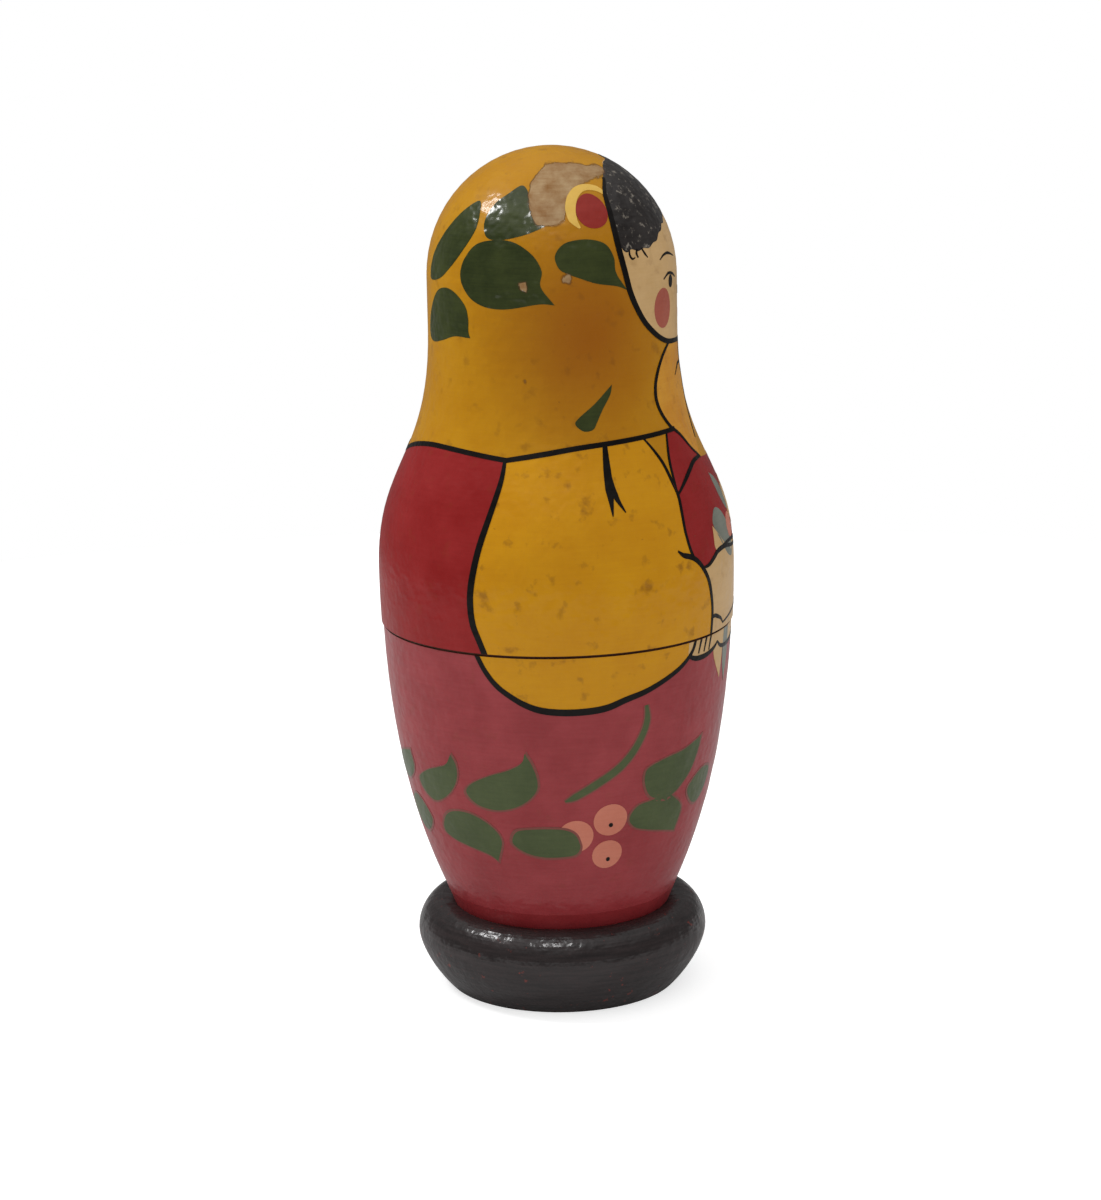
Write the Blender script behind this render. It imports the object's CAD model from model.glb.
import math

import bpy
import numpy as np
from mathutils import Matrix, Vector


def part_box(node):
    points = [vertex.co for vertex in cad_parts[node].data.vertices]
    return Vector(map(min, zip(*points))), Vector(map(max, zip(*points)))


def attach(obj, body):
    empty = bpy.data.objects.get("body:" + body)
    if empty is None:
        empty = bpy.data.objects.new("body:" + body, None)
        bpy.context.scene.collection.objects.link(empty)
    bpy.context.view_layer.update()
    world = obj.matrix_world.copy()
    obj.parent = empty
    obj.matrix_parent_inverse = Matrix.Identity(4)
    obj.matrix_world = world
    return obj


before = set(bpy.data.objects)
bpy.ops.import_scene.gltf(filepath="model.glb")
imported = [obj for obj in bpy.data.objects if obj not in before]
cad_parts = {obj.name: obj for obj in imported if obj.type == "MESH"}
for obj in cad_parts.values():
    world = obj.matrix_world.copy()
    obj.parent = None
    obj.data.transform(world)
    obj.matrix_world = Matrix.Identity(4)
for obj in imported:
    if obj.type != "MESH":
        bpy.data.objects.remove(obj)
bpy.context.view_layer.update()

# The solids are bare turned limewood. Paint is laid on them as thin films, each coat and brush mark its own
# outline, so that edges stay crisp. A place on a doll is (turn, height): degrees from the front towards its
# right hand, and millimetres above the underside of the outer doll. Inner dolls carry the same painting,
# smaller.

MM = 0.001
DOLLS = 7
# Seam, bevel at the seam and foot of the outer doll, in millimetres
SEAM = 76.0
BEVEL = 0.3
FOOT = 17.0

# Lift of each layer of paint over the wood, in millimetres
COAT = 0.06
AREA = 0.100
MOTIF = 0.134
LINE = 0.168
# Depth to which the underside of a film is sunk in what it lies on
SUNK = 0.03
# Thickness of the dirt in the seam, over and under the bevel
GRIME = 0.04
# Further lift of each of five marks in turn, so that no two that overlap lie at one height
LAP = 0.002

# Cells into which a flat sheet of paint is cut before it is laid on the round, in degrees and millimetres
CELL_TURN = 3.0
CELL_BEND = 2.5
CELL_RISE = 2.0
# Steps round the axis of a coat that covers a whole side
COAT_STEPS = 144
# Distance below the crown at which films end, and the sharpest edge that is shaded smooth
CROWN_CLEAR = 0.5
CREASE = math.radians(40)
# Heights this close on a solid count as one, and faces that look out at least this much are its outside
NEAR = 0.01
FACING = 0.02


# Nodes and colours

def linear(hex_colour):
    """sRGB hex to the linear RGBA that sockets take."""
    parts = [int(hex_colour[i:i + 2], 16) / 255 for i in (1, 3, 5)]
    return tuple(c / 12.92 if c <= 0.04045 else ((c + 0.055) / 1.055) ** 2.4 for c in parts) + (1.0,)


def add(tree, kind, sockets=None, output=None, **settings):
    """Adds a node with its settings. A socket takes a value or the output that feeds it. Gives the node, or
    the output that is asked for."""
    node = tree.nodes.new(kind)
    for name, value in settings.items():
        setattr(node, name, value)
    for name, value in (sockets or {}).items():
        if isinstance(value, bpy.types.NodeSocket):
            tree.links.new(value, node.inputs[name])
        else:
            node.inputs[name].default_value = value
    return node if output is None else node.outputs[output]


def empty_tree(owner):
    owner.use_nodes = True
    owner.node_tree.nodes.clear()
    return owner.node_tree


def brushed_paint(name, thin, full, stains=0.0, flecks=0.0, varnish=0.15, lumps=2.0, rubbed=None, worn=False):
    """Tempera colour brushed round the turning under old varnish: faint streaks half a millimetre wide, clouds
    of tone, a lumpy shine, soft brown stains, pale rubs. A worn coat has flaked to the wood in places, dark at
    the broken edge, and may be browned where it was held."""
    material = bpy.data.materials.new(name)
    tree = empty_tree(material)
    place = add(tree, "ShaderNodeTexCoord", output="Object")
    brush = add(tree, "ShaderNodeMapping", {
        "Vector": place, "Scale": (1 / (7 * MM), 1 / (7 * MM), 1 / (0.5 * MM))}, "Vector")
    streaks = add(tree, "ShaderNodeTexNoise", {
        "Vector": brush, "Scale": 1.0, "Detail": 4.0, "Roughness": 0.65}, "Fac")
    clouds = add(tree, "ShaderNodeTexNoise", {
        "Vector": place, "Scale": 1 / (9 * MM), "Detail": 5.0, "Roughness": 0.6}, "Fac")
    peel = add(tree, "ShaderNodeTexNoise", {
        "Vector": place, "Scale": 1 / (2.2 * MM), "Detail": 1.0}, "Fac")
    streaked = add(tree, "ShaderNodeMapRange", {0: streaks, 1: 0.3, 2: 0.7, 3: 0.0, 4: 0.35}, "Result")
    clouded = add(tree, "ShaderNodeMapRange", {0: clouds, 1: 0.35, 2: 0.65, 3: 0.0, 4: 0.65}, "Result")
    cover = add(tree, "ShaderNodeMath", {0: streaked, 1: clouded}, 0, operation="ADD")
    colour = add(tree, "ShaderNodeMix", {0: cover, 6: linear(thin), 7: linear(full)}, 2, data_type="RGBA")
    if worn and rubbed:
        held = add(tree, "ShaderNodeAttribute", output="Fac", attribute_name="rubbed")
        colour = add(tree, "ShaderNodeMix", {0: held, 6: colour, 7: linear(rubbed)}, 2, data_type="RGBA")
    if stains:
        drops = add(tree, "ShaderNodeTexNoise", {
            "Vector": place, "Scale": 1 / (3.2 * MM), "Detail": 4.0}, "Fac")
        soaked = add(tree, "ShaderNodeMapRange", {0: drops, 1: 0.60, 2: 0.72, 3: 0.0, 4: stains}, "Result")
        colour = add(tree, "ShaderNodeMix", {0: soaked, 6: colour, 7: linear("#6a3e0c")}, 2, data_type="RGBA")
    if flecks:
        rubs = add(tree, "ShaderNodeTexNoise", {
            "Vector": place, "Scale": 1 / (1.6 * MM), "Detail": 6.0, "Roughness": 0.7}, "Fac")
        pale = add(tree, "ShaderNodeMapRange", {0: rubs, 1: 0.565, 2: 0.67, 3: 0.0, 4: flecks}, "Result")
        colour = add(tree, "ShaderNodeMix", {0: pale, 6: colour, 7: linear("#9a9184")}, 2, data_type="RGBA")
    rough = add(tree, "ShaderNodeMapRange", {0: clouds, 1: 0.3, 2: 0.7, 3: 0.48, 4: 0.34}, "Result")
    lumpy = add(tree, "ShaderNodeMath", {0: peel, 1: lumps}, 0, operation="MULTIPLY")
    relief = add(tree, "ShaderNodeMath", {0: streaks, 1: 0.12, 2: lumpy}, 0, operation="MULTIPLY_ADD")
    shine = varnish
    if worn:
        patch = add(tree, "ShaderNodeAttribute", output="Fac", attribute_name="wear")
        torn = add(tree, "ShaderNodeTexNoise", {
            "Vector": place, "Scale": 1 / (3 * MM), "Detail": 5.0, "Roughness": 0.6}, "Fac")
        ragged = add(tree, "ShaderNodeMapRange", {0: torn, 1: 0.0, 2: 1.0, 3: -0.35, 4: 0.35}, "Result")
        knocks = add(tree, "ShaderNodeTexNoise", {
            "Vector": place, "Scale": 1 / (2.6 * MM), "Detail": 6.0, "Roughness": 0.7}, "Fac")
        nicks = add(tree, "ShaderNodeMapRange", {0: knocks, 1: 0.63, 2: 0.83, 3: 0.2, 4: 0.8}, "Result")
        flaked = add(tree, "ShaderNodeMath", {0: patch, 1: ragged}, 0, operation="ADD")
        lost = add(tree, "ShaderNodeMath", {0: flaked, 1: nicks}, 0, operation="MAXIMUM")
        bare = add(tree, "ShaderNodeMapRange", {0: lost, 1: 0.50, 2: 0.56}, "Result")
        broken = add(tree, "ShaderNodeMapRange", {0: lost, 1: 0.41, 2: 0.50, 3: 0.0, 4: 0.6}, "Result")
        soiled = add(tree, "ShaderNodeMath", {0: torn, 1: 1.6, 2: -0.3}, 0,
                     operation="MULTIPLY_ADD", use_clamp=True)
        lines = add(tree, "ShaderNodeMath", {0: streaked, 1: 0.7, 2: soiled}, 0, operation="MULTIPLY_ADD")
        wood = add(tree, "ShaderNodeMix", {
            0: lines, 6: linear("#b49b76"), 7: linear("#845d34")}, 2, data_type="RGBA")
        colour = add(tree, "ShaderNodeMix", {0: broken, 6: colour, 7: linear("#4a2c10")}, 2, data_type="RGBA")
        colour = add(tree, "ShaderNodeMix", {0: bare, 6: colour, 7: wood}, 2, data_type="RGBA")
        relief = add(tree, "ShaderNodeMath", {0: bare, 1: -1.5, 2: relief}, 0, operation="MULTIPLY_ADD")
        shine = add(tree, "ShaderNodeMath", {0: bare, 1: -varnish, 2: varnish}, 0, operation="MULTIPLY_ADD")
    bump = add(tree, "ShaderNodeBump", {"Height": relief, "Distance": 0.1 * MM, "Strength": 1.0}, "Normal")
    shader = add(tree, "ShaderNodeBsdfPrincipled", {
        "Base Color": colour, "Roughness": rough, "Normal": bump, "IOR": 1.47, "Specular IOR Level": 0.1,
        "Coat Weight": shine, "Coat Roughness": 0.16, "Coat IOR": 1.9, "Coat Normal": bump}, "BSDF")
    add(tree, "ShaderNodeOutputMaterial", {"Surface": shader})
    return material


def turned_limewood():
    """Limewood off the lathe, unvarnished inside: pale cream, faint grain along the trunk, tool rings across
    it."""
    material = bpy.data.materials.new("limewood_turned_bare")
    tree = empty_tree(material)
    place = add(tree, "ShaderNodeTexCoord", output="Object")
    trunk = add(tree, "ShaderNodeMapping", {
        "Vector": place, "Scale": (1 / (0.7 * MM), 1 / (0.7 * MM), 1 / (14 * MM))}, "Vector")
    fibres = add(tree, "ShaderNodeTexNoise", {
        "Vector": trunk, "Scale": 1.0, "Detail": 4.0, "Roughness": 0.6}, "Fac")
    lathe = add(tree, "ShaderNodeMapping", {
        "Vector": place, "Scale": (1 / (60 * MM), 1 / (60 * MM), 1 / (0.35 * MM))}, "Vector")
    rings = add(tree, "ShaderNodeTexNoise", {"Vector": lathe, "Scale": 1.0, "Detail": 1.0}, "Fac")
    tone = add(tree, "ShaderNodeTexNoise", {"Vector": place, "Scale": 1 / (12 * MM)}, "Fac")
    light = add(tree, "ShaderNodeMapRange", {0: fibres, 1: 0.35, 2: 0.65}, "Result")
    aged = add(tree, "ShaderNodeMapRange", {0: tone, 1: 0.35, 2: 0.7, 3: 0.0, 4: 0.45}, "Result")
    pale = add(tree, "ShaderNodeMix", {
        0: light, 6: linear("#c9a06a"), 7: linear("#e2c391")}, 2, data_type="RGBA")
    colour = add(tree, "ShaderNodeMix", {0: aged, 6: pale, 7: linear("#b98a52")}, 2, data_type="RGBA")
    rough = add(tree, "ShaderNodeMapRange", {0: fibres, 1: 0.3, 2: 0.7, 3: 0.62, 4: 0.5}, "Result")
    bump = add(tree, "ShaderNodeBump", {"Height": rings, "Distance": 0.05 * MM, "Strength": 0.4}, "Normal")
    shader = add(tree, "ShaderNodeBsdfPrincipled", {
        "Base Color": colour, "Roughness": rough, "Normal": bump, "IOR": 1.5,
        "Specular IOR Level": 0.35}, "BSDF")
    add(tree, "ShaderNodeOutputMaterial", {"Surface": shader})
    return material


def black_lacquer():
    """Black spirit lacquer on the turned plinth: a lumpy shine, brush rings, red paint spilt in a few
    places."""
    material = bpy.data.materials.new("plinth_black_lacquer")
    tree = empty_tree(material)
    place = add(tree, "ShaderNodeTexCoord", output="Object")
    brush = add(tree, "ShaderNodeMapping", {
        "Vector": place, "Scale": (1 / (9 * MM), 1 / (9 * MM), 1 / (0.6 * MM))}, "Vector")
    streaks = add(tree, "ShaderNodeTexNoise", {
        "Vector": brush, "Scale": 1.0, "Detail": 4.0, "Roughness": 0.6}, "Fac")
    clouds = add(tree, "ShaderNodeTexNoise", {"Vector": place, "Scale": 1 / (5 * MM), "Detail": 4.0}, "Fac")
    peel = add(tree, "ShaderNodeTexNoise", {"Vector": place, "Scale": 1 / (2.4 * MM), "Detail": 2.0}, "Fac")
    spills = add(tree, "ShaderNodeTexNoise", {
        "Vector": place, "Scale": 1 / (2.2 * MM), "Detail": 4.0, "Roughness": 0.65}, "Fac")
    thin = add(tree, "ShaderNodeMapRange", {0: streaks, 1: 0.35, 2: 0.68}, "Result")
    spilt = add(tree, "ShaderNodeMapRange", {0: spills, 1: 0.64, 2: 0.69, 3: 0.0, 4: 0.7}, "Result")
    colour = add(tree, "ShaderNodeMix", {
        0: thin, 6: linear("#252020"), 7: linear("#332b2b")}, 2, data_type="RGBA")
    colour = add(tree, "ShaderNodeMix", {0: spilt, 6: colour, 7: linear("#7a3129")}, 2, data_type="RGBA")
    rough = add(tree, "ShaderNodeMapRange", {0: clouds, 1: 0.3, 2: 0.7, 3: 0.34, 4: 0.48}, "Result")
    rings = add(tree, "ShaderNodeMath", {0: streaks, 1: 0.12}, 0, operation="MULTIPLY")
    relief = add(tree, "ShaderNodeMath", {0: peel, 1: 1.8, 2: rings}, 0, operation="MULTIPLY_ADD")
    bump = add(tree, "ShaderNodeBump", {"Height": relief, "Distance": 0.16 * MM, "Strength": 1.0}, "Normal")
    shader = add(tree, "ShaderNodeBsdfPrincipled", {
        "Base Color": colour, "Roughness": rough, "Normal": bump, "IOR": 1.5, "Specular IOR Level": 0.08,
        "Coat Weight": 0.28, "Coat Roughness": 0.2, "Coat IOR": 2.0, "Coat Normal": bump}, "BSDF")
    add(tree, "ShaderNodeOutputMaterial", {"Surface": shader})
    return material


# Each paint comes worn, for the outer doll that hands have handled, and clean, for the dolls inside it
PAINTS = {
    "kerchief_ochre": dict(thin="#ba8400", full="#b07800", stains=0.3, rubbed="#8e4a00"),
    "sleeve_yellow": dict(thin="#c68b00", full="#bc7f00", stains=0.5),
    "scarf_amber": dict(thin="#cb912c", full="#bb791b", stains=0.3),
    "panel_madder": dict(thin="#912222", full="#821616", stains=0.1, varnish=0.1, lumps=1.6),
    "skirt_rose": dict(thin="#9a3a3e", full="#872a2e", stains=0.1, varnish=0.2),
    "band_crimson": dict(thin="#882c2f", full="#7c2226"),
    "leaf_bottle_green": dict(thin="#3c441b", full="#242d10", varnish=0.34, lumps=3.5),
    "leaf_dull_green": dict(thin="#4f5937", full="#3e492a"),
    "leaf_soft_edge": dict(thin="#7f4840", full="#744038"),
    "skin_cream": dict(thin="#c7a473", full="#ba9663", stains=0.2),
    "cheek_rose": dict(thin="#a65a48", full="#984c3d"),
    "berry_salmon": dict(thin="#c87b65", full="#bb6c57"),
    "outline_black": dict(thin="#1a1715", full="#0f0c0b", varnish=0.04),
    "hair_black": dict(thin="#35312f", full="#211d1c", flecks=0.7, varnish=0.22, lumps=4.0),
    "flower_red": dict(thin="#922b22", full="#842019"),
    "crescent_lemon": dict(thin="#d9b257", full="#d0a546"),
    "posy_grey_green": dict(thin="#7c7f74", full="#666a60"),
    "seam_umber": dict(thin="#43261c", full="#311b15"),
}
# Paints that were laid over the wear
MENDED = ("flower_red", "crescent_lemon")
worn = {key: brushed_paint(f"tempera_{key}_worn", worn=key not in MENDED, **coat)
        for key, coat in PAINTS.items()}
clean = {key: brushed_paint(f"tempera_{key}_clean", **coat) for key, coat in PAINTS.items()}
clean_of = {worn[key].name: clean[key] for key in PAINTS}
limewood = turned_limewood()
lacquer = black_lacquer()


# Turned sides, read from the solids

def doll_place(n):
    """Stand height in metres of doll n, and its size as a share of the outer doll."""
    def height(k):
        top = f"doll{k}_upper_half" if k < DOLLS else f"doll{k}_figure"
        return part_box(top)[1].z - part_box(f"doll{k}_plinth")[0].z
    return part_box(f"doll{n}_plinth")[0].z, height(n) / height(1)


def through(points, steps=6, closed=False):
    """Smooth curve through points, as a list of rows."""
    knots = np.array(points, float)
    if closed:
        knots = np.vstack([knots[-1:], knots, knots[:2]])
    else:
        knots = np.vstack([2 * knots[0] - knots[1], knots, 2 * knots[-1] - knots[-2]])
    t = np.linspace(0, 1, steps, endpoint=False)[:, None]
    spans = []
    for a, b, c, d in zip(knots, knots[1:], knots[2:], knots[3:]):
        spans.append(0.5 * (2 * b + (c - a) * t + (2 * a - 5 * b + 4 * c - d) * t ** 2
                            + (3 * b - a - 3 * c + d) * t ** 3))
    return np.vstack(spans + ([] if closed else [knots[-2:-1]]))


def turned_side(node, n, low, high):
    """Outside of a turned solid between two heights: rows of radius, height and outward normal (r, z)."""
    stand, size = doll_place(n)
    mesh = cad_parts[node].data
    places = np.empty(len(mesh.vertices) * 3)
    mesh.vertices.foreach_get("co", places)
    places = (places.reshape(-1, 3) - (0, 0, stand)) / (size * MM)
    corners = np.empty(len(mesh.polygons) * 3, int)
    mesh.polygons.foreach_get("vertices", corners)
    triangles = places[corners.reshape(-1, 3)]
    normals = np.cross(triangles[:, 1] - triangles[:, 0], triangles[:, 2] - triangles[:, 0])
    middle = triangles.mean(axis=1)
    lengths = np.linalg.norm(normals, axis=1) * np.linalg.norm(middle[:, :2], axis=1)
    outward = (normals[:, :2] * middle[:, :2]).sum(axis=1) > FACING * lengths
    rings = triangles[outward].reshape(-1, 3)
    radius, height = np.hypot(rings[:, 0], rings[:, 1]), rings[:, 2]
    kept = (height > low - NEAR) & (height < high + NEAR)
    order = np.argsort(height[kept])
    side = []
    for r, z in zip(radius[kept][order], height[kept][order]):
        if not side or z - side[-1][1] > 2 * NEAR:
            side.append([r, z])
        elif r > side[-1][0]:
            side[-1][0] = r
    curve = through(side, steps=4)
    along = np.gradient(curve, axis=0)
    along /= np.linalg.norm(along, axis=1)[:, None]
    rows = np.column_stack([curve, along[:, 1], -along[:, 0]])
    if rows[-1, 0] < NEAR:
        rows[-1] = 0, curve[-1, 1], 0, 1
    return rows


def part_of(side, low, high):
    """Rows of a turned side between two heights, its ends cut to them."""
    ends = []
    for height in (low, high):
        radius, out, up = side_at(side, height)
        ends.append([radius, height, out, up])
    return np.vstack([ends[:1], side[(side[:, 1] > low) & (side[:, 1] < high)], ends[1:]])


def side_at(side, height):
    """Radius and outward normal of a turned side at heights."""
    return [np.interp(height, side[:, 1], side[:, k]) for k in (0, 2, 3)]


CROWN = (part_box("doll1_upper_half")[1].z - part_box("doll1_plinth")[0].z) / MM
upper_side = turned_side("doll1_upper_half", 1, SEAM + BEVEL, CROWN)
lower_side = turned_side("doll1_lower_half", 1, FOOT, SEAM - BEVEL)


def outer_at(height):
    """Radius and outward normal of the outer doll at heights, each on the half that it belongs to."""
    return np.where(height > SEAM, side_at(upper_side, height), side_at(lower_side, height))


# Outlines of the painting, each a list of (turn, height)

def leaf(*points):
    """Leaf or petal that comes to a point at its first place."""
    return through(list(points) + [points[0]])[:-1]


def blob(*points):
    """Rounded patch."""
    return through(points, closed=True)


def disc(turn, height, half_turn, half_height):
    a = np.linspace(0, 2 * math.pi, 28, endpoint=False)
    return np.column_stack([turn + half_turn * np.cos(a), height + half_height * np.sin(a)])


def stroke(points, widths):
    """Brush line through points, its width in millimetres given along it, drawn out at both ends."""
    line = through(points, steps=8)
    share = np.linspace(0, 1, len(line))
    width = np.interp(share, np.linspace(0, 1, len(widths)), widths)
    radius, out, _ = outer_at(line[:, 1])
    scale = np.column_stack([radius * math.pi / 180, 1 / np.maximum(out, 0.2)])
    along = np.gradient(line, axis=0) * scale
    along /= np.linalg.norm(along, axis=1)[:, None]
    across = np.column_stack([-along[:, 1], along[:, 0]]) * width[:, None] / 2 / scale
    return np.vstack([line + across, (line - across)[::-1]])


def mirrored(outline):
    return outline * (-1, 1)


def both(*outlines):
    """Outlines on the right-hand side and the same on the left."""
    return list(outlines) + [mirrored(outline) for outline in outlines]


def from_back(outline):
    """The same places counted on past the back, for an outline that runs across it."""
    return np.column_stack([360 - outline[:, 0], outline[:, 1]])


# Lines of the dress, from the back round to the front
HEM_BACK = through([(180, 110.6), (165, 112.8), (148, 114.0), (130, 113.8), (109, 112.8)])
HEM_SIDE = through([(109, 112.8), (98, 113.7), (80, 115.0), (55, 115.8), (31, 116.2)])
ARMHOLE = [(109.4, 113.2), (110, 109), (112.4, 103), (115.3, 96.5), (117.4, 90), (117.9, 86), (117.2, 82),
           (115, 78.5), (112.3, 74.5)]
SLEEVE_FRONT = [(52, 115.9), (48, 113.3), (45, 110.5), (43.5, 107), (42.8, 104.5), (43.5, 101), (43.8, 98),
                (43, 95), (41.5, 92.5)]
CUFF = [(48.3, 94.4), (46, 93.4), (43, 92.8), (40, 91.8), (37, 90), (34, 87.3), (32.2, 84), (31.5, 80),
        (32.3, 74.5)]
BODICE_EDGE = [(37.5, 116), (41, 111), (42.5, 106.5), (42.8, 104.5)]
COLLAR = [(42.6, 104.6), (36, 106.8), (30, 108.5), (25, 109.5), (18, 109.9)]
SCARF_EDGE = [(24, 132.6), (31, 130.3), (37, 126.8), (39.5, 123.5), (38.5, 120.3), (34, 117), (28, 114.8),
              (22.5, 111.8), (17, 109.6)]
FACE_EDGE = [(0, 132.0), (15, 132.4), (25, 132.8), (32, 133.8), (38, 135.3), (44, 137.5), (49, 140.5),
             (53, 144), (55.5, 148), (57, 151.5), (57.5, 155), (57, 158.5), (55, 162), (48, 164.6)]
SCARF_FOLD = [(17, 109.6), (12.5, 113), (8, 118.5), (4, 124), (2, 126)]
HAND_TOP = [(37, 90), (33.5, 90.2), (30, 91.2), (26.5, 92.2), (20, 92.4), (12, 91.6), (0, 91)]
FINGERTIPS = [(43.6, 73.2), (41, 72.4), (38.5, 72.1), (35, 72.1), (31.8, 72.4), (28.5, 73), (26.2, 73.9)]
SLEEVE_LOW = [(117.8, 77.5), (114, 73), (110, 70), (105, 67.8), (100, 66.2), (95, 65.3), (88, 64.9),
              (80, 65), (74, 65.5), (68, 66.7), (60, 68), (50, 70.4), (44.5, 72.3), (41, 74.5), (39.5, 77.5)]

# Areas of the dress, each bounded by parts of these lines
armhole, sleeve_front, cuff = through(ARMHOLE), through(SLEEVE_FRONT), through(CUFF)
scarf_edge, face_edge = through(SCARF_EDGE), through(FACE_EDGE)
cuff_front = cuff[cuff[:, 0] < 41.2]

back_panel = np.vstack([armhole[::-1], HEM_BACK[::-1], from_back(HEM_BACK)[1:], from_back(armhole)])
sleeve_top = np.vstack([armhole[::-1], HEM_SIDE[HEM_SIDE[:, 0] > 52], sleeve_front, cuff_front])
bodice_half = np.vstack([[(0, 74.5), (32.3, 74.5)], cuff_front[::-1], sleeve_front[::-1][:-18],
                         through(BODICE_EDGE)[::-1], [(31, 116.2)], scarf_edge[scarf_edge[:, 1] < 115.5],
                         [(0, 108.6)]])
scarf_half = np.vstack([[(0, 132.4)], scarf_edge, through(SCARF_FOLD), [(0, 126.5)]])
face_half = np.vstack([face_edge, [(40, 166), (30, 167), (20, 167.3)]])
face = np.vstack([face_half, mirrored(face_half)[::-1][:-1]])
hair_half = blob((0, 158.6), (6, 156.4), (10, 156), (14, 155.2), (18, 155.1), (22, 154.1), (26, 153.7),
                 (30, 152.5), (34, 152.2), (38, 151.4), (42, 151.5), (46, 151.1), (50, 151.6), (53, 151.1),
                 (55.4, 152), (57, 155), (56.6, 159), (54.6, 162.3), (48, 164.6), (40, 166), (30, 166.9),
                 (20, 167.2), (8, 167.4), (0, 167.4))
hand = np.vstack([through(HAND_TOP), [(0, 74.5), (32.3, 74.5)], cuff[cuff[:, 0] < 37][::-1]])
fingers = np.vstack([[(43.2, 77.5)], through(FINGERTIPS), [(26, 77.5)]])
PALM_EDGE = [(26.2, 73.9), (23, 72.6), (16, 72.2), (8, 72.8), (0, 73.2)]
palm_low = np.vstack([[(26, 77.5)], PALM_EDGE, [(0, 77.5)]])
sleeve_end = through(SLEEVE_LOW)

KERCHIEF_LEAVES = [
    blob((163, 146.5), (160, 151), (148, 157.5), (138, 160.5), (133, 160.3), (130, 157), (132, 154),
         (140, 149.5), (150, 146.2), (160, 145.3)),
    leaf((93, 156.6), (97.5, 155.8), (105, 154.8), (116, 154), (123, 154.6), (126, 157.5), (123, 160.5),
         (117, 162.2), (110, 163.7), (105, 163), (102, 161), (98.5, 157.8)),
    leaf((89, 142), (96, 142.2), (110, 141.2), (120, 141.3), (128, 142.5), (133, 144.5), (135.5, 147),
         (134, 150), (128, 153), (118, 154), (108, 153.7), (99, 151.5), (94.5, 148.5), (95, 145.5)),
    leaf((54.5, 144.1), (60, 145), (70, 145.8), (78, 147), (84, 148), (87, 149), (88.5, 151), (86, 152.8),
         (81, 153.8), (72, 154), (64, 153), (60.5, 150.5), (60, 147.5)),
    leaf((130, 135.2), (140, 135.2), (150, 134), (160, 133.3), (165.5, 134.5), (164, 138.5), (156, 142.8),
         (148, 144.3), (140, 143.8), (133, 141.5), (131, 139), (131, 136.5)),
    leaf((63.6, 126.4), (67.4, 124.9), (72.8, 122.8), (79.6, 120.5), (81.2, 119.3), (77.9, 118),
         (73.9, 118.2), (71.9, 119.5), (68.9, 121.8), (64.8, 124.5)),
]
SKIRT_LEAVES = [
    leaf((101.5, 56.7), (99, 54), (97.5, 51), (98, 48.5), (102, 46), (108, 44.3), (115, 43.7), (122, 44.5),
         (126, 46.8), (123, 49), (115, 51.3), (108, 52.8), (103, 54.5)),
    leaf((130, 54.7), (128, 52.5), (128.5, 49.5), (132, 46.5), (138, 44), (144, 43), (150, 44.5), (152, 47),
         (145, 49.5), (138, 51), (133, 52.2)),
    leaf((116, 32.2), (113.5, 35.5), (113, 37.5), (115, 39.5), (120, 41.5), (127, 42.6), (135, 42),
         (140, 40), (142, 37), (137, 35.5), (128, 34.5), (120, 33.5)),
    blob((109.5, 37.5), (107, 39.8), (100, 40.5), (92, 40.6), (87.4, 40.2), (84.3, 39.1), (82.8, 37.4),
         (82.3, 36), (83.5, 34.6), (87, 34), (96, 33.8), (103, 34.5), (108, 36)),
    leaf((32, 55.8), (33, 53), (36, 49), (40, 46.6), (44, 44.9), (49, 44), (56, 45.2), (59, 47.6), (59.8, 50.2),
         (58, 52), (50, 53.3), (42, 54)),
    leaf((39.5, 36), (47, 37), (55, 38), (61.5, 39.2), (64.5, 41.4), (61.5, 44), (55, 44.8), (49, 45.6),
         (44, 44.2), (38, 41)),
    blob((37, 44.5), (33, 47), (27, 48.2), (21, 47.5), (20, 45), (23, 42), (28, 40.5), (33, 41.5)),
    leaf((155, 52.6), (154, 49), (158, 46.5), (165, 45), (171, 46), (172, 49), (166, 51)),
    blob((149, 38), (152, 41), (158, 42.7), (165, 41.5), (168, 38.5), (164, 35.5), (156, 34.8)),
]
STEM = [(60.5, 65), (60, 62), (61.5, 59), (65, 55.5), (70, 52.5), (78, 49.5), (85, 47.2), (88.5, 46.3)]
STEM_WIDTHS = np.array([0.8, 1.4, 1.5, 1.6, 1.7, 1.7, 1.5, 0.4])
# Width of the thin edge of these leaves, where the skirt shows through
SOFT = 0.5


def grown(outline, margin):
    """Outline spread by about a margin in millimetres all round its middle."""
    middle, reach = outline.mean(axis=0), np.ptp(outline, axis=0) / 2 * (0.5, 1)
    return middle + (outline - middle) * (1 + margin / reach)


# Posy in the hands: leaves and a flower above them, stems below
POSY_LEAVES = [
    blob((25.5, 99.4), (27.4, 97.6), (25.6, 95.4), (22, 92.9), (18, 90.6), (13, 89.6), (11, 91.5), (13, 95.5),
         (18, 99), (22.5, 100.2)),
    leaf((16, 106.4), (10.5, 104.6), (7.5, 101.5), (7.5, 98.5), (11.5, 99.4), (15, 102.6)),
]
POSY_STEMS = [
    leaf((17.3, 64.5), (20.6, 70), (19.5, 77.5), (15.5, 77.5), (15.3, 70)),
    stroke([(4.4, 77.5), (3.2, 72), (2, 67.5), (1, 63.5)], [1.4, 1.5, 1.3, 0.5]),
]
PETAL = leaf((28.2, 97.2), (28.4, 93), (24.5, 91.6), (20, 92.4), (23.5, 94.6))
LOW_PETAL = leaf((22.6, 66), (28.6, 71.6), (27.2, 77.5), (20.6, 77.5), (21.4, 71))
FLOWER_TURN, FLOWER_HEIGHT = 0, 99.6
flower_petals = []
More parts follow.
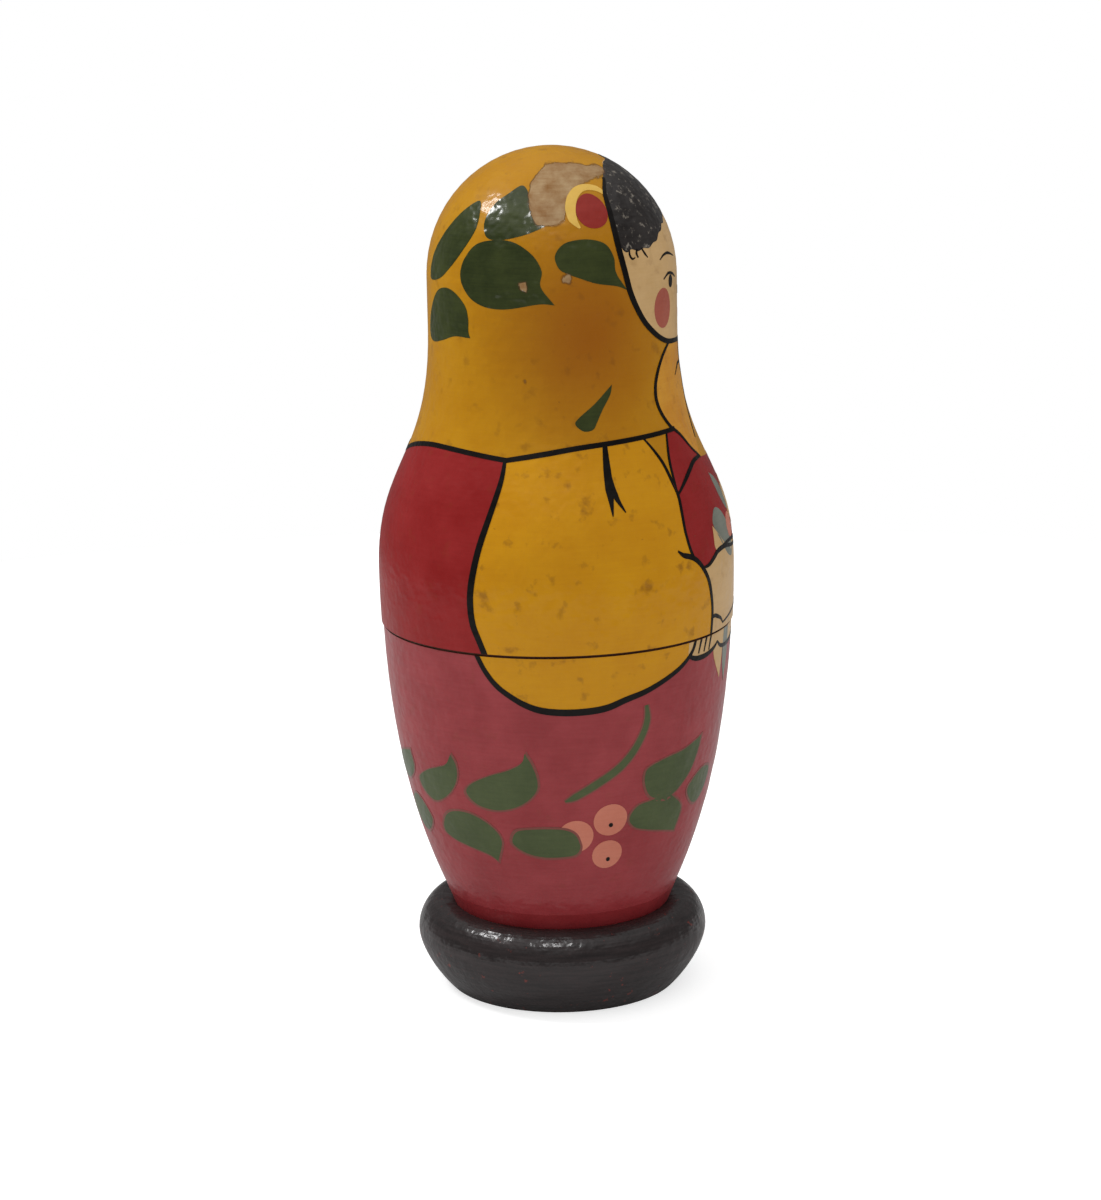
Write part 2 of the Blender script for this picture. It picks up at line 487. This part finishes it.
for step in range(6):
    a = math.radians(60 * step + 30)
    flower_petals.append(disc(FLOWER_TURN + 5.0 * math.cos(a), FLOWER_HEIGHT + 2.9 * math.sin(a), 3.4, 2.0))

# The right hand lies over the left: its outline and its fingers
OVER_HAND = [(26.5, 92.2), (18, 92.9), (8, 92.6), (-2, 91.6), (-10, 89.6), (-14.5, 86.8), (-14.8, 83.6),
             (-11, 81), (-2, 79.6), (10, 78.6), (23, 77.4)]
OVER_FINGERS = [[(-14.6, 87.4), (-9, 87.6), (-4, 87.2)], [(-15.2, 85), (-9.5, 85.2), (-4, 84.9)],
                [(-14, 82.8), (-9, 82.9), (-4, 82.5)]]

# Layers of the painting: lift, paint, outlines
UPPER_LAYERS = [
    (AREA, "panel_madder", [back_panel, bodice_half, mirrored(bodice_half)]),
    (AREA, "sleeve_yellow", both(sleeve_top)),
    (AREA + 0.012, "scarf_amber", both(scarf_half)),
    (AREA + 0.022, "skin_cream", [face, through(OVER_HAND)] + both(hand, PETAL)),
    (MOTIF, "cheek_rose", both(disc(29.5, 139.5, 7.6, 3.9))),
    (MOTIF, "hair_black", both(hair_half)),
    (AREA, "leaf_bottle_green", both(*KERCHIEF_LEAVES)),
    (MOTIF, "posy_grey_green", both(*POSY_LEAVES)),
    (MOTIF + 0.01, "scarf_amber", [disc(0, 128.6, 6.5, 3.0)]),
    (MOTIF + 0.012, "berry_salmon", both(disc(11, 95.6, 4.2, 2.5))),
    (MOTIF + 0.022, "skin_cream", flower_petals),
    (MOTIF + 0.012, "flower_red", both(disc(67.5, 159, 9, 3.1)) + [
        blob((-5.2, 137.3), (-2.6, 136.5), (0, 136.2), (2.6, 136.5), (5.2, 137.3), (2.4, 138.1), (0, 137.7),
             (-2.4, 138.1))]),
    (MOTIF + 0.012, "crescent_lemon", both(stroke(
        [(75.6, 156.1), (78.6, 157.7), (79.2, 159.6), (77.3, 161.4), (73, 162.7), (67, 163.2), (60, 162.9),
         (55.5, 162)],
        [0.4, 1.7, 2.0, 2.0, 1.8, 1.6, 1.4, 0.8]))),
    (LINE, "crescent_lemon", [disc(FLOWER_TURN, FLOWER_HEIGHT, 2.5, 1.5)]),
    (LINE, "outline_black", both(
        stroke(HEM_BACK[::4], [0.9, 0.99, 0.99, 0.99]),
        stroke(HEM_SIDE[::4], [0.99, 1.08, 0.99, 0.9]),
        stroke(ARMHOLE, [0.63, 1.08, 1.25, 1.34, 1.34, 1.25, 1.16]),
        stroke([(69.7, 115.5), (70.3, 110.8), (70.6, 107.2), (70.8, 102.4)], [0.9, 1.5, 1.7, 0.2]),
        stroke([(69.9, 110.4), (68.9, 106.2), (66.1, 102.9)], [0.7, 1.2, 0.2]),
        stroke(SLEEVE_FRONT, [0.36, 0.72, 0.81, 0.72, 0.63, 0.72]),
        stroke(BODICE_EDGE, [0.45, 0.63, 0.54, 0.36]),
        stroke(COLLAR, [0.45, 0.9, 0.9, 0.72]),
        stroke(SCARF_EDGE, [0.54, 0.81, 0.81, 0.72, 0.54]),
        stroke(CUFF, [0.36, 1.08, 0.99, 0.9, 0.9, 0.81, 0.72]),
        stroke(HAND_TOP, [0.45, 0.81, 0.99, 0.99, 0.72, 0.63]),
        stroke([(32.2, 79.2), (30, 79.6), (27.8, 79.2), (25, 78.4), (23.2, 77.2)],
               [0.45, 0.81, 0.81, 0.63, 0.27]),
        stroke(SCARF_FOLD[1:], [0.45, 0.72, 0.72, 0.45]),
        stroke([(6.6, 128.6), (4.8, 131), (0, 131.7)], [0.54, 0.63, 0.54]),
        stroke([(6.6, 128.6), (4.8, 126.2), (0, 125.5)], [0.54, 0.63, 0.54]),
        stroke([(7, 127.8), (13, 127.6), (19, 125.8)], [0.45, 0.54, 0.18]),
        stroke(FACE_EDGE, [0.9, 0.99, 1.08, 1.16, 1.25, 1.25, 1.08, 0.54]),
        stroke([(31, 148.8), (26.5, 149.6), (21, 149.7), (13, 148.8)], [0.18, 0.45, 0.54, 0.18]),
        stroke([(51.4, 151.5), (51.6, 150.5), (50.4, 149.8), (48.6, 150)], [0.3, 0.45, 0.4, 0.2]),
        stroke([(46.6, 151.5), (47.4, 150.7), (46.8, 149.9)], [0.3, 0.5, 0.3]),
        stroke([(43.6, 151.6), (42, 150.5), (40.4, 149.7)], [0.3, 0.5, 0.2]),
        stroke([(28.8, 145.0), (24, 145.9), (19, 145.7), (13.5, 144.8)], [0.27, 0.54, 0.54, 0.27]),
        disc(21, 144.3, 2.4, 1.25),
        stroke([(3.6, 142.6), (3.0, 141.3), (1.2, 140.9)], [0.18, 0.36, 0.18]),
    ) + [stroke(OVER_HAND, [0.45, 0.72, 0.72, 0.72, 0.72, 0.63, 0.36])]
     + [stroke(finger, [0.45, 0.54, 0.27]) for finger in OVER_FINGERS]),
]
LOWER_LAYERS = [
    (AREA - 0.01, "band_crimson", [np.array([(-180, FOOT), (180, FOOT), (180, 20.4), (-180, 20.4)])]),
    (AREA, "sleeve_yellow", both(sleeve_end)),
    (AREA + 0.012, "skin_cream", both(fingers, palm_low, LOW_PETAL)),
    (AREA + 0.022, "posy_grey_green", both(*POSY_STEMS)),
    (AREA, "berry_salmon", both(
        disc(84.5, 38.6, 6.7, 3.5), disc(71.5, 41.7, 6.5, 3.4), disc(71.7, 34.1, 6.2, 3.1),
    ) + [disc(0, 47.5, 6.6, 3.5), disc(0, 39.5, 6.4, 3.3)]),
    (AREA + 0.01, "leaf_soft_edge", both(
        stroke(STEM, STEM_WIDTHS + SOFT), *[grown(outline, SOFT / 2) for outline in SKIRT_LEAVES])),
    (AREA + 0.02, "leaf_dull_green", both(
        stroke(STEM, STEM_WIDTHS - SOFT / 4), *[grown(outline, -SOFT / 2) for outline in SKIRT_LEAVES])),
    (LINE, "outline_black", both(
        stroke(SLEEVE_LOW, [0.97, 1.04, 1.12, 1.29, 1.37, 1.37, 1.21, 0.97, 0.81, 0.65]),
        stroke(FINGERTIPS, [0.72, 0.99, 1.08, 0.99, 0.81, 0.45]),
        stroke(PALM_EDGE, [0.4, 0.8, 0.8, 0.8, 0.8]),
        *[stroke([(top, 77), ((top + low) / 2, 75.2), (low, 73)], [0.54, 0.54, 0.36])
          for top, low in ((39.3, 42.2), (36.1, 38.4), (33.1, 35.3), (30.3, 32.3))],
        disc(71.3, 40.6, 0.8, 0.45), disc(71.2, 33.0, 0.8, 0.45))),
]


# Laying paint on the round

def only(*pieces):
    """Selects these objects and nothing else."""
    bpy.ops.object.select_all(action="DESELECT")
    for piece in pieces:
        piece.select_set(True)
    bpy.context.view_layer.objects.active = pieces[0]


def joined(name, pieces):
    only(*pieces)
    if len(pieces) > 1:
        bpy.ops.object.join()
    pieces[0].name = pieces[0].data.name = name
    return pieces[0]


def cell_heights(side):
    """Heights at which a sheet is cut, so that each cell bends little and rises little."""
    heights, last = [], side[0]
    for row in side[1:-1]:
        bend = math.degrees(math.acos(min(1, row[2] * last[2] + row[3] * last[3])))
        if bend > CELL_BEND or np.hypot(*(row[:2] - last[:2])) > CELL_RISE:
            heights.append(row[1])
            last = row
    return heights


def cut_sheet(place, across, clear=False):
    """Cuts the sheet in hand along a straight line, and can clear away what lies before it."""
    bpy.ops.mesh.select_all(action="SELECT")
    bpy.ops.mesh.bisect(plane_co=place, plane_no=across, clear_inner=clear)


def laid_film(side, lift, paint, outlines):
    """Cuts outlines from a flat sheet, keeps what lies on a turned side and lays it round it."""
    low, high = side[0, 1], min(side[-1, 1], CROWN - CROWN_CLEAR)
    sheets = []
    for place, outline in enumerate(outlines):
        if outline[:, 1].max() <= low or outline[:, 1].min() >= high:
            continue
        area = np.sum(outline[:, 0] * np.roll(outline[:, 1], -1) - outline[:, 1] * np.roll(outline[:, 0], -1))
        flat = outline[::-1] if area > 0 else outline
        bpy.ops.mesh.primitive_circle_add(vertices=len(flat), fill_type="NGON")
        sheet = bpy.context.object
        lap = np.full(len(flat), place % 5 * LAP)
        sheet.data.vertices.foreach_set("co", np.column_stack([-flat[:, 0], flat[:, 1], lap]).ravel())
        sheets.append(sheet)
    film = joined("film", sheets)
    turns = [-v.co.x for v in film.data.vertices]
    bpy.ops.object.mode_set(mode="EDIT")
    cut_sheet((0, low, 0), (0, 1, 0), clear=True)
    cut_sheet((0, high, 0), (0, -1, 0), clear=True)
    for height in cell_heights(side):
        cut_sheet((0, height, 0), (0, 1, 0))
    for cell in range(math.ceil(min(turns) / CELL_TURN), math.ceil(max(turns) / CELL_TURN)):
        cut_sheet((-cell * CELL_TURN, 0, 0), (1, 0, 0))
    bpy.ops.object.mode_set(mode="OBJECT")
    flat = np.empty(len(film.data.vertices) * 3)
    film.data.vertices.foreach_get("co", flat)
    turn, height, raised = -flat[0::3], flat[1::3], lift + flat[2::3]
    mark_wear(film.data, turn, height)
    radius, out, up = side_at(side, height)
    angle = np.radians(turn)
    reach = radius + raised * out
    round_ = np.column_stack([-reach * np.sin(angle), -reach * np.cos(angle), height + raised * up])
    film.data.vertices.foreach_set("co", round_.ravel())
    film.data.update()
    thick = film.modifiers.new("thickness", "SOLIDIFY")
    thick.thickness = lift - COAT + SUNK
    thick.offset = -1
    only(film)
    bpy.ops.object.modifier_apply(modifier=thick.name)
    film.data.materials.append(paint)
    bpy.ops.object.shade_smooth_by_angle(angle=CREASE)
    return film


def spun_film(rows, paint):
    """Closed strip of paint, given as its section (radius, height), turned once round the axis."""
    bpy.ops.object.select_all(action="DESELECT")
    bpy.ops.mesh.primitive_circle_add(vertices=len(rows), fill_type="NOTHING")
    film = bpy.context.object
    section = np.column_stack([np.zeros(len(rows)), -np.array(rows)[:, 0], np.array(rows)[:, 1]])
    film.data.vertices.foreach_set("co", section.ravel())
    bpy.ops.object.mode_set(mode="EDIT")
    bpy.ops.mesh.select_all(action="SELECT")
    bpy.ops.mesh.spin(steps=COAT_STEPS, angle=2 * math.pi, center=(0, 0, 0), axis=(0, 0, 1))
    bpy.ops.mesh.select_all(action="SELECT")
    bpy.ops.mesh.remove_doubles(threshold=0.001)
    bpy.ops.mesh.normals_make_consistent(inside=False)
    bpy.ops.object.mode_set(mode="OBJECT")
    places = np.empty(len(film.data.vertices) * 3)
    film.data.vertices.foreach_get("co", places)
    places = places.reshape(-1, 3)
    mark_wear(film.data, np.degrees(np.arctan2(-places[:, 0], -places[:, 1])), places[:, 2])
    film.data.materials.append(paint)
    only(film)
    bpy.ops.object.shade_smooth_by_angle(angle=CREASE)
    return film


def base_coat(side, paint):
    """Coat over a whole turned side."""
    rows = side[::2] if len(side) % 2 else np.vstack([side[::2], side[-1:]])
    outside = rows[:, :2] + COAT * rows[:, 2:]
    inside = rows[:, :2] - SUNK * rows[:, 2:]
    return spun_film(np.vstack([outside, inside[::-1]]), paint)


def seam_grime(side, paint, up):
    """Dirt held in the bevel at the seam: a thin strip over it."""
    edge = side[0] if up else side[-1]
    way = -1 if up else 1
    corner, lip = np.array([edge[0], edge[1]]), np.array([edge[0] - BEVEL, edge[1] + way * BEVEL])
    out = np.array([GRIME, way * GRIME])
    return spun_film([corner + out, lip + out * 0.5, lip - out, corner - out], paint)


# Wear of the outer doll: outlines of bare patches, and the place on the neck that hands have browned
WORN_PATCHES = [
    through([(104, 163.4), (101, 165.4), (95, 167.3), (80, 167.5), (60, 167.3), (38, 166.5), (46, 165.2),
             (60, 164.5), (72, 163.4), (79.5, 161.4), (82.3, 158.2), (84.5, 157.2), (93, 156.5), (99, 157.4),
             (101.5, 160)], closed=True),
    disc(102.9, 145.4, 2.4, 1.0), disc(83.6, 147.1, 2.6, 1.1), disc(103.1, 127.6, 0.6, 0.3),
    disc(56.7, 130.6, 0.6, 0.3), disc(44.6, 141.8, 0.6, 0.3),
]
# Millimetres on the head for one degree of turn and one millimetre of height, and the width of a patch's edge
WEAR_SCALE = (0.4, 1.0)
WEAR_EDGE = 3
# How brown the neck is at most, where, and how far round that place
HELD = 0.8
HELD_TURN, HELD_TURN_REACH = 74, 40
HELD_HEIGHT, HELD_HEIGHT_REACH = 137, 21


def mark_wear(mesh, turn, height):
    """Writes how worn and how rubbed each point is."""
    place = np.column_stack([turn, height]) * WEAR_SCALE
    wear = np.zeros(len(place))
    for patch in WORN_PATCHES:
        edge = np.vstack([patch, patch[:1]]) * WEAR_SCALE
        nearest = np.full(len(place), 1e9)
        inside = np.zeros(len(place), bool)
        for a, b in zip(edge, edge[1:]):
            span = b - a
            share = np.clip(((place - a) @ span) / max(span @ span, 1e-9), 0, 1)
            nearest = np.minimum(nearest, np.linalg.norm(place - a - share[:, None] * span, axis=1))
            crosses = (a[1] > place[:, 1]) != (b[1] > place[:, 1])
            rise = span[1] if abs(span[1]) > 1e-9 else 1e-9
            inside ^= crosses & (place[:, 0] < a[0] + (place[:, 1] - a[1]) / rise * span[0])
        wear = np.maximum(wear, np.clip(0.5 + np.where(inside, nearest, -nearest) / WEAR_EDGE, 0, 1))
    rubbed = HELD * np.exp(-((turn - HELD_TURN) / HELD_TURN_REACH) ** 2
                           - ((height - HELD_HEIGHT) / HELD_HEIGHT_REACH) ** 2)
    for name, values in (("wear", wear), ("rubbed", rubbed)):
        mesh.attributes.new(name, "FLOAT", "POINT").data.foreach_set("value", values)


def painted(name, paints, side, coat, layers, seam=True):
    """Paint of one turned side, as one piece: the base coat, then every layer laid over it."""
    films = [base_coat(side, paints[coat])]
    if seam:
        films.append(seam_grime(side, paints["seam_umber"], up=side[0, 1] > SEAM))
    films += [laid_film(side, lift, paints[key], outlines) for lift, key, outlines in layers]
    return joined(name, films)


def stood(piece, n, body):
    """Takes a piece from the outer doll's millimetres to the size and place of doll n, and lets it ride."""
    stand, size = doll_place(n)
    piece.data.transform(Matrix.Translation((0, 0, stand)) @ Matrix.Scale(size * MM, 4))
    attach(piece, body)


def copied(piece, name):
    """A copy of the outer doll's paint, on its own mesh and in the clean colours."""
    copy = piece.copy()
    copy.data = piece.data.copy()
    copy.name = copy.data.name = name
    bpy.context.collection.objects.link(copy)
    for place, material in enumerate(copy.data.materials):
        copy.data.materials[place] = clean_of[material.name]
    return copy


outer_upper = painted("doll1_upper_paint", worn, upper_side, "kerchief_ochre", UPPER_LAYERS)
outer_lower = painted("doll1_lower_paint", worn, lower_side, "skirt_rose", LOWER_LAYERS)
for n in range(2, DOLLS):
    stood(copied(outer_upper, f"doll{n}_upper_paint"), n, f"doll{n}_upper")
    stood(copied(outer_lower, f"doll{n}_lower_paint"), n, f"doll{n}_lower")
stood(outer_upper, 1, "doll1_upper")
stood(outer_lower, 1, "doll1_lower")

figure_side = turned_side(f"doll{DOLLS}_figure", DOLLS, FOOT, CROWN)
figure_upper = painted(f"doll{DOLLS}_upper_paint", clean, part_of(figure_side, SEAM, CROWN),
                       "kerchief_ochre", UPPER_LAYERS, seam=False)
figure_lower = painted(f"doll{DOLLS}_lower_paint", clean, part_of(figure_side, FOOT, SEAM),
                       "skirt_rose", LOWER_LAYERS, seam=False)
stood(figure_upper, DOLLS, f"doll{DOLLS}")
stood(figure_lower, DOLLS, f"doll{DOLLS}")

for name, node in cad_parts.items():
    for material_slot in node.material_slots:
        material_slot.material = lacquer if name.endswith("plinth") else limewood


# Camera, floor and light of the photograph: the doll's right side, from a little above, on white

CAMERA_TURN = 90.0
CAMERA_PITCH = 13.12
CAMERA_ROLL = -0.99
CAMERA_AWAY = 0.600
CAMERA_ASIDE = -0.0013
CAMERA_HEIGHT = 0.219
CAMERA_LENS = 91.77
FLOOR_RADIUS = 0.45
# Strength of the room on matt surfaces, then as seen in gloss towards the camera, behind the doll and above
AMBIENT = 0.91
ROOM_SHEEN = 0.10
BACK_SHEEN = 0.20
CEILING_SHEEN = 0.7
# Glow of the floor, for the camera only
FLOOR_GLOW = 0.62
camera_data = bpy.data.cameras.new("camera")
camera_data.lens = CAMERA_LENS
camera_data.sensor_width = 36.0
camera_data.clip_start = 0.01
camera = bpy.data.objects.new("camera", camera_data)
bpy.context.collection.objects.link(camera)
turn = math.radians(CAMERA_TURN)
toward = Vector((-math.sin(turn), -math.cos(turn), 0))
right = Vector((0, 0, 1)).cross(toward)
pitch, roll = math.radians(CAMERA_PITCH), math.radians(CAMERA_ROLL)
back = toward * math.cos(pitch) + Vector((0, 0, 1)) * math.sin(pitch)
above = back.cross(right)
tilted_right = right * math.cos(roll) + above * math.sin(roll)
tilted_above = back.cross(tilted_right)
seat = Matrix((tilted_right, tilted_above, back)).transposed().to_4x4()
seat.translation = toward * CAMERA_AWAY + right * CAMERA_ASIDE + Vector((0, 0, CAMERA_HEIGHT))
camera.matrix_world = seat
bpy.context.scene.camera = camera

bpy.ops.object.select_all(action="DESELECT")
bpy.ops.mesh.primitive_circle_add(vertices=96, radius=FLOOR_RADIUS, fill_type="NGON", location=(0, 0, 0))
floor = bpy.context.object
floor.name = "floor"
floor_paper = bpy.data.materials.new("white_paper")
tree = empty_tree(floor_paper)
path = add(tree, "ShaderNodeLightPath")
paper = add(tree, "ShaderNodeBsdfDiffuse", {"Color": linear("#d4d4d4")})
glow = add(tree, "ShaderNodeEmission", {
    "Color": (1, 1, 1, 1), "Strength": add(
        tree, "ShaderNodeMath", {0: path.outputs["Is Camera Ray"], 1: FLOOR_GLOW}, 0, operation="MULTIPLY")})
sheet = add(tree, "ShaderNodeAddShader", {0: paper.outputs["BSDF"], 1: glow.outputs["Emission"]})
add(tree, "ShaderNodeOutputMaterial", {"Surface": sheet.outputs["Shader"]})
floor.data.materials.append(floor_paper)

world = bpy.data.worlds.new("studio")
bpy.context.scene.world = world
tree = empty_tree(world)
path = add(tree, "ShaderNodeLightPath")
seen = add(tree, "ShaderNodeMath", {
    0: path.outputs["Is Camera Ray"], 1: path.outputs["Is Transmission Ray"]}, 0, operation="MAXIMUM")
heading = add(tree, "ShaderNodeTexCoord", output="Generated")
to_room = add(tree, "ShaderNodeVectorMath", {0: heading, 1: toward}, "Value", operation="DOT_PRODUCT")
mirror = add(tree, "ShaderNodeMapRange", {
    0: to_room, 1: -0.85, 2: 0.0, 3: BACK_SHEEN, 4: ROOM_SHEEN}, "Result")
to_ceiling = add(tree, "ShaderNodeVectorMath", {0: heading, 1: (0, 0, 1)}, "Value", operation="DOT_PRODUCT")
ceiling = add(tree, "ShaderNodeMapRange", {
    0: to_ceiling, 1: 0.5, 2: 0.95, 3: 0.0, 4: CEILING_SHEEN}, "Result")
mirror = add(tree, "ShaderNodeMath", {0: mirror, 1: ceiling}, 0, operation="ADD")
plain = add(tree, "ShaderNodeMix", {
    0: path.outputs["Is Glossy Ray"], 2: AMBIENT, 3: mirror}, data_type="FLOAT")
strength = add(tree, "ShaderNodeMix", {0: seen, 2: plain.outputs[0], 3: 1.0}, data_type="FLOAT").outputs[0]
sky = add(tree, "ShaderNodeBackground", {"Color": (1, 1, 1, 1), "Strength": strength})
add(tree, "ShaderNodeOutputWorld", {"Surface": sky.outputs["Background"]})


def softbox(name, place, aim, size, power, lights=True):
    """Round soft lamp. One that doesn't light things is only seen in their gloss."""
    data = bpy.data.lights.new(name, "AREA")
    data.shape = "DISK"
    data.size = size
    data.energy = power
    lamp = bpy.data.objects.new(name, data)
    bpy.context.collection.objects.link(lamp)
    lamp.location = place
    lamp.visible_diffuse = lights
    lamp.rotation_euler = (Vector(aim) - Vector(place)).to_track_quat("-Z", "Y").to_euler()


softbox("key_from_upper_left", (0.05, 0.47, 0.68), (0, 0, 0.09), 0.15, 1.9)
softbox("ceiling_in_the_gloss", (-0.36, 0.06, 0.73), (0, 0, 0.05), 0.15, 1.2, lights=False)

bpy.context.scene.view_settings.view_transform = "Standard"
